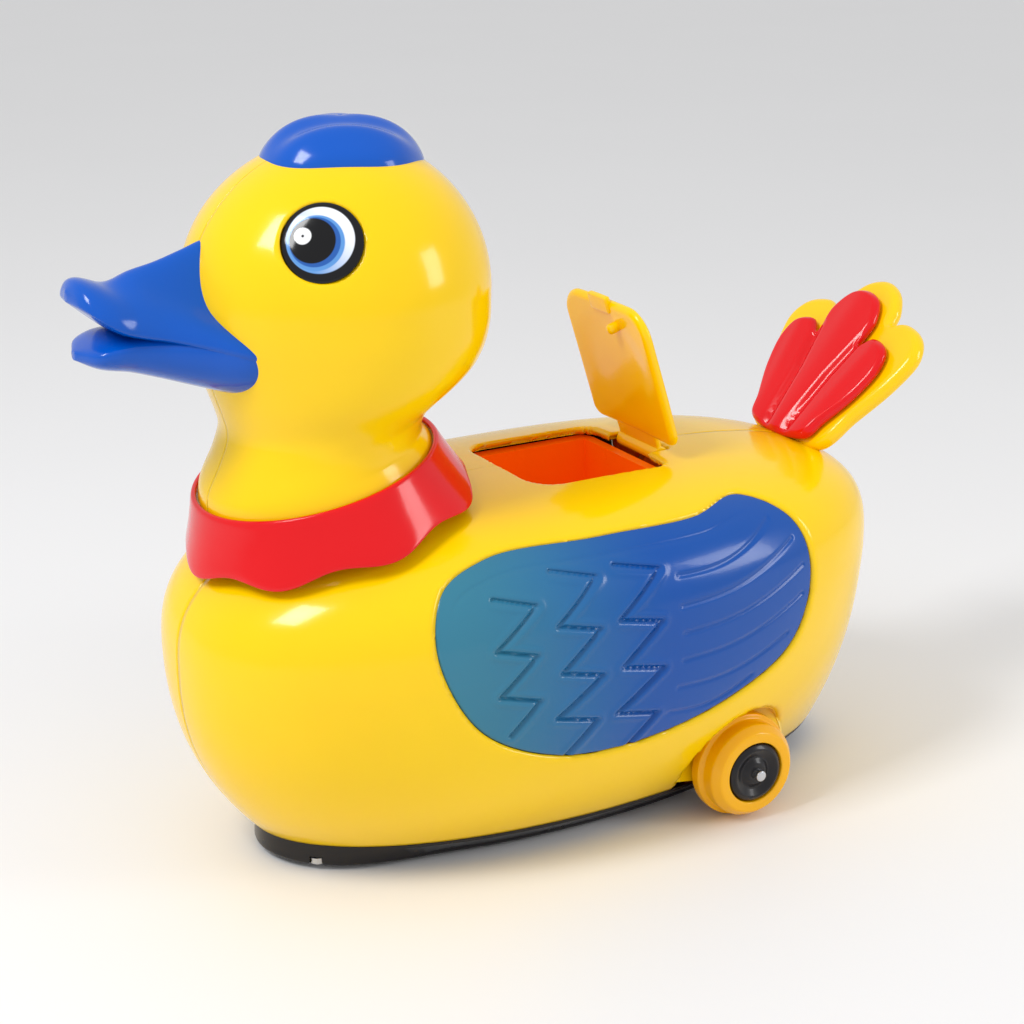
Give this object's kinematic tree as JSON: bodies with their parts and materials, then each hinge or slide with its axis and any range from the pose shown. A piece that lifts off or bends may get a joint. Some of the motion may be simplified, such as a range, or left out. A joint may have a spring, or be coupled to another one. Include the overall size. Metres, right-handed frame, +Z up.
{
  "type": "battery-operated egg-laying toy duck",
  "caption": "Yellow plastic toy duck on wheels with blue wings, beak and comb, red collar and a back hatch; drives, turns away from obstacles and drops eggs at the rear.",
  "frame": {"origin": "on the floor, under the middle of the whole toy's box", "axes": "+X is the tail end and the beak points to -X, +Y is the duck's right side, +Z is up"},
  "size_m": [0.2466, 0.113, 0.1914],
  "materials": {
    "yellow_plastic": "glossy moulded yellow plastic",
    "amber_plastic": "satin amber plastic inside the hatch",
    "blue_plastic": "glossy moulded blue plastic",
    "wing_blue": "glossy see-through blue plastic with engraved feathers",
    "red_plastic": "glossy moulded red plastic",
    "eye_print": "glossy white with a printed pupil and ring",
    "black_plastic": "satin black plastic",
    "natural_nylon": "unpainted off-white nylon",
    "lamp_lens": "clear lamp body",
    "circuit_board": "green lacquered board",
    "tyre_rubber": "dark soft rubber",
    "steel": "bright drawn steel"
  },
  "bodies": {
    "casing": {"body_shell_left": "yellow_plastic", "body_shell_right": "yellow_plastic", "head_shell_left": "yellow_plastic", "head_shell_right": "yellow_plastic", "tail_back": "yellow_plastic", "egg_chute": "amber_plastic", "beak": "blue_plastic", "comb": "blue_plastic", "wing_left": "wing_blue", "wing_right": "wing_blue", "collar": "red_plastic", "tail_front": "red_plastic", "eye_left": "eye_print", "eye_right": "eye_print", "base_plate": "black_plastic", "battery_door": "black_plastic", "battery_tray": "black_plastic", "battery_cell_1": "black_plastic", "battery_cell_2": "black_plastic", "battery_cell_3": "black_plastic", "speaker": "black_plastic", "power_switch": "black_plastic", "turret_ring": "black_plastic", "wing_lamp_left": "lamp_lens", "wing_lamp_right": "lamp_lens", "sound_board": "circuit_board", "lid_hinge_pin": "steel", "release_motor": "steel", "outlet_flap_pin": "steel", "base_screw_1": "steel", "base_screw_2": "steel", "base_screw_3": "steel", "base_screw_4": "steel", "battery_contact_left": "steel", "battery_contact_right": "steel", "battery_door_screw": "steel"},
    "lid": {"lid": "yellow_plastic"},
    "release_wheel": {"egg_release_wheel": "natural_nylon", "release_gear": "natural_nylon"},
    "worm": {"release_worm": "steel"},
    "flap": {"outlet_flap": "yellow_plastic"},
    "rear_wheels": {"rear_axle": "steel", "rear_wheel_left": "yellow_plastic", "rear_wheel_right": "yellow_plastic", "rear_hub_left": "black_plastic", "rear_hub_right": "black_plastic"},
    "turret": {"turret_frame": "natural_nylon", "drive_motor": "steel", "motor_strap": "natural_nylon"},
    "drive_wheels": {"drive_axle": "steel", "drive_axle_gear": "natural_nylon", "drive_wheel_left": "natural_nylon", "drive_wheel_right": "natural_nylon", "drive_tyre_left": "tyre_rubber", "drive_tyre_right": "tyre_rubber"},
    "idler": {"idler_gear": "natural_nylon"},
    "pinion": {"motor_pinion": "steel"},
    "switch": {"switch_knob": "black_plastic"}
  },
  "joints": [
    {"name": "lid_hinge", "type": "hinge", "parent": "casing", "child": "lid", "pos_m": [0.0371, 0, 0.0936], "axis": [0, 1, 0], "range_deg": [-72, 12]},
    {"name": "release_spin", "type": "hinge", "parent": "casing", "child": "release_wheel", "pos_m": [0.0641, 0, 0.075], "axis": [0, 1, 0], "continuous": true},
    {"name": "worm_spin", "type": "hinge", "parent": "casing", "child": "worm", "pos_m": [0.0561, 0.03, 0.0627], "axis": [1, 0, 0], "continuous": true},
    {"name": "flap_hinge", "type": "hinge", "parent": "casing", "child": "flap", "pos_m": [0.09953, 0, 0.0599], "axis": [0, -1, 0], "range_deg": [0, 75]},
    {"name": "rear_axle_spin", "type": "hinge", "parent": "casing", "child": "rear_wheels", "pos_m": [0.0426, 0, 0.0145], "axis": [0, 1, 0], "continuous": true},
    {"name": "turret_swivel", "type": "hinge", "parent": "casing", "child": "turret", "pos_m": [-0.0419, 0, 0.005], "axis": [0, 0, 1], "continuous": true},
    {"name": "drive_spin", "type": "hinge", "parent": "turret", "child": "drive_wheels", "pos_m": [-0.0379, 0, 0.011], "axis": [0, 1, 0], "continuous": true},
    {"name": "idler_spin", "type": "hinge", "parent": "turret", "child": "idler", "pos_m": [-0.0409, 0, 0.02106], "axis": [0, 1, 0], "continuous": true},
    {"name": "pinion_spin", "type": "hinge", "parent": "turret", "child": "pinion", "pos_m": [-0.0439, 0, 0.03165], "axis": [0, 1, 0], "continuous": true},
    {"name": "switch_slide", "type": "slide", "parent": "casing", "child": "switch", "axis": [1, 0, 0], "range_m": [0, 0.006]}
  ],
  "couplings": [
    {"joint": "worm_spin", "follows": "release_spin", "ratio": 18},
    {"joint": "idler_spin", "follows": "drive_spin", "ratio": -2},
    {"joint": "pinion_spin", "follows": "drive_spin", "ratio": 5.3333}
  ]
}
